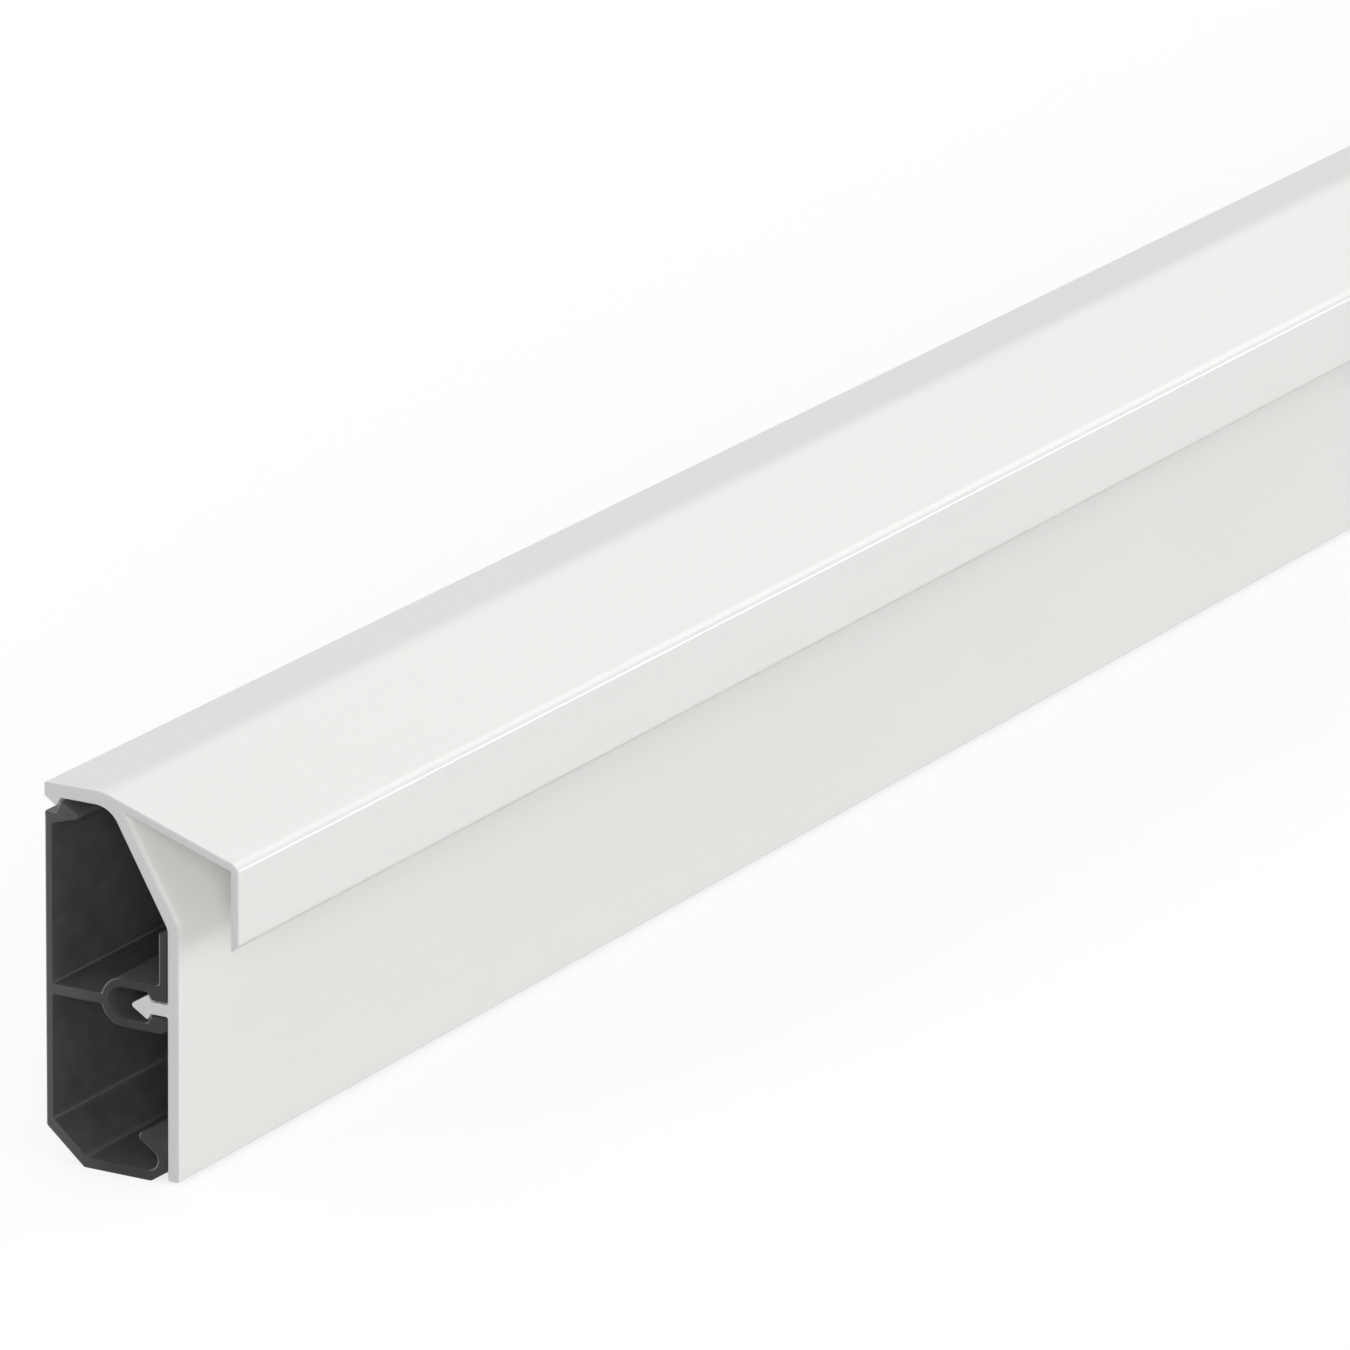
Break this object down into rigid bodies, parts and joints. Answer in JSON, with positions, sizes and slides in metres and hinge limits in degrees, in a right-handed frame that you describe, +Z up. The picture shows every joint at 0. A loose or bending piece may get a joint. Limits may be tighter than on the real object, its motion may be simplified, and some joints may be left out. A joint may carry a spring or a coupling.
{
  "type": "skirting cable raceway",
  "caption": "Straight length of skirting cable raceway: a dark wall channel with cable compartments and a white clip-over cover with a sloping roof and a hanging lip.",
  "frame": {"origin": "centre of the stock's length and of its overall depth, at the level of the floor that it stands on", "axes": "+X along the length, +Y towards the wall that the back lies against, +Z up; the lip faces -Y"},
  "size_m": [2, 0.0284, 0.05],
  "materials": {
    "base_grey": "satin",
    "cover_white": "satin"
  },
  "bodies": {
    "root": {"base_channel": "base_grey", "cover_strip": "cover_white"}
  },
  "joints": []
}
